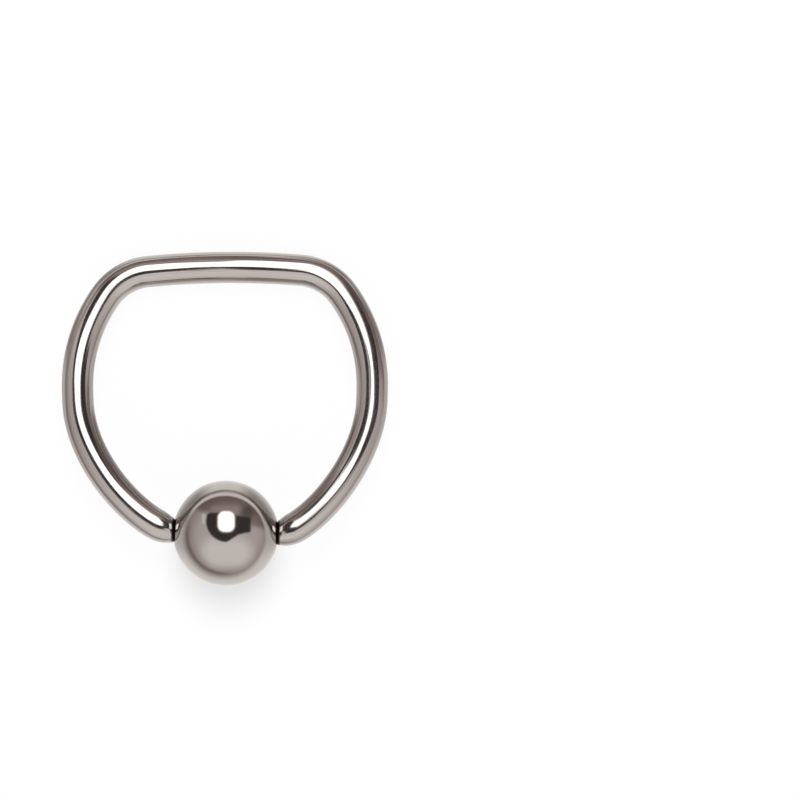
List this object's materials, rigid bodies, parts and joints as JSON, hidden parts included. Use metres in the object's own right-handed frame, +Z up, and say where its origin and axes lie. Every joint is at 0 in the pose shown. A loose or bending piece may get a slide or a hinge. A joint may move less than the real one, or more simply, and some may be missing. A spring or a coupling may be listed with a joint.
{
  "type": "captive bead ring",
  "caption": "Captive bead ring for a piercing: round wire bent to a D-shaped hoop with a bowed bar, its tapered ends seated in the sockets of a polished bead.",
  "frame": {"origin": "the middle of the underside of the box round the whole ring, on the table that it lies on", "axes": "+Y from the bead to the bar, +X along the bar (the axis that the bead turns on is 2.2 degrees off it), +Z up from the table"},
  "size_m": [0.0124, 0.0126, 0.004],
  "materials": {
    "ring_titanium": "mirror polished titanium wire",
    "bead_titanium": "mirror polished titanium ball"
  },
  "bodies": {
    "ring": {"wire_ring": "ring_titanium"},
    "bead": {"captive_bead": "bead_titanium"}
  },
  "joints": [
    {"name": "bead_spin", "type": "hinge", "parent": "ring", "child": "bead", "pos_m": [0, -0.00435, 0.002], "axis": [0.9993, -0.038, 0.0053], "continuous": true}
  ]
}
